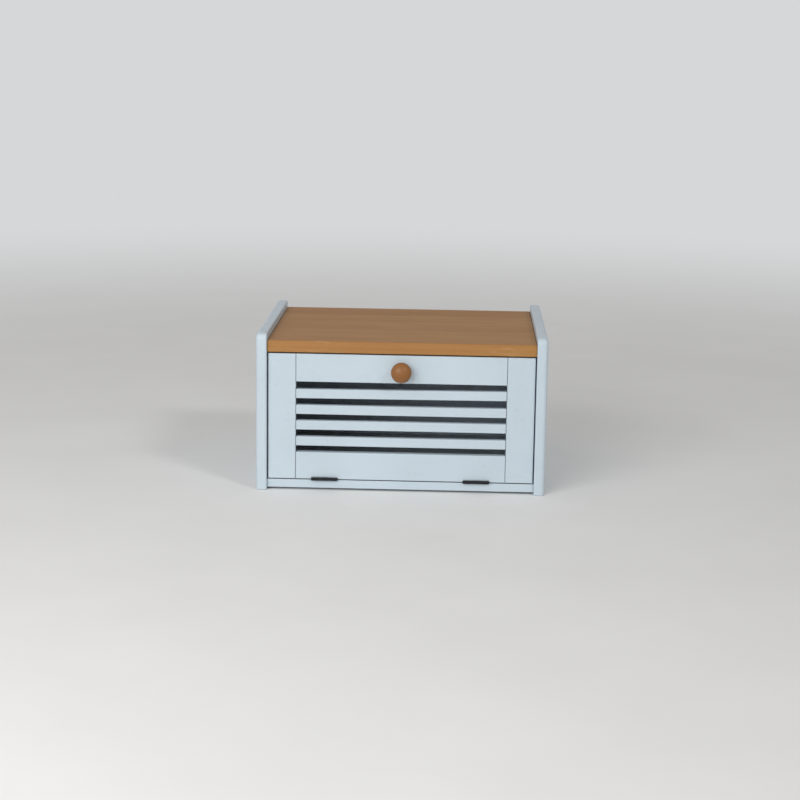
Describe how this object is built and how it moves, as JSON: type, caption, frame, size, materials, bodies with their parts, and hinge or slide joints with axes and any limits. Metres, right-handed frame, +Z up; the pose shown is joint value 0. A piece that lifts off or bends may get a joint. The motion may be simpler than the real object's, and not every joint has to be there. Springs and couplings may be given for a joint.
{
  "type": "bread box",
  "caption": "Wooden bread box with rounded side panels, a lacquered top board and a slatted drop-front door on two small hinges, with a round wooden knob.",
  "frame": {"origin": "on the floor, midway across the box and midway between the knob's tip and the back edges of the side panels", "axes": "+X to the right seen from the front, +Y towards the back, +Z up"},
  "size_m": [0.4, 0.339, 0.22],
  "materials": {
    "satin_white_paint": "satin off-white paint over wood",
    "honey_lacquered_wood": "satin clear lacquer over honey-coloured wood",
    "knob_wood": "satin clear lacquer over turned wood",
    "bare_beech": "bare",
    "black_lacquered_steel": "thin black lacquer, worn at the edges",
    "zinc_plated_steel": "bright zinc plating",
    "ferrite": "matt",
    "ivory_plastic": "moulded, matt"
  },
  "bodies": {
    "carcass": {"left_side_panel": "satin_white_paint", "right_side_panel": "satin_white_paint", "bottom_board": "satin_white_paint", "back_panel": "satin_white_paint", "top_board": "honey_lacquered_wood", "carcass_dowels": "bare_beech", "back_panel_nails": "zinc_plated_steel", "catch_screws": "zinc_plated_steel", "catch_pole_plates": "zinc_plated_steel", "catch_magnet": "ferrite", "catch_housing": "ivory_plastic", "left_hinge_base_leaf": "black_lacquered_steel", "right_hinge_base_leaf": "black_lacquered_steel", "left_hinge_pin": "black_lacquered_steel", "right_hinge_pin": "black_lacquered_steel", "hinge_base_screws": "black_lacquered_steel"},
    "door": {"left_stile": "satin_white_paint", "right_stile": "satin_white_paint", "top_rail": "satin_white_paint", "bottom_rail": "satin_white_paint", "slat_1": "satin_white_paint", "slat_2": "satin_white_paint", "slat_3": "satin_white_paint", "slat_4": "satin_white_paint", "knob": "knob_wood", "knob_screw": "zinc_plated_steel", "strike_plate": "zinc_plated_steel", "strike_screw": "zinc_plated_steel", "left_hinge_door_leaf": "black_lacquered_steel", "right_hinge_door_leaf": "black_lacquered_steel", "hinge_door_screws": "black_lacquered_steel"}
  },
  "joints": [
    {"name": "door_hinge", "type": "hinge", "parent": "carcass", "child": "door", "pos_m": [0, -0.1471, 0.0163], "axis": [1, 0, 0], "range_deg": [0, 87.4]}
  ]
}
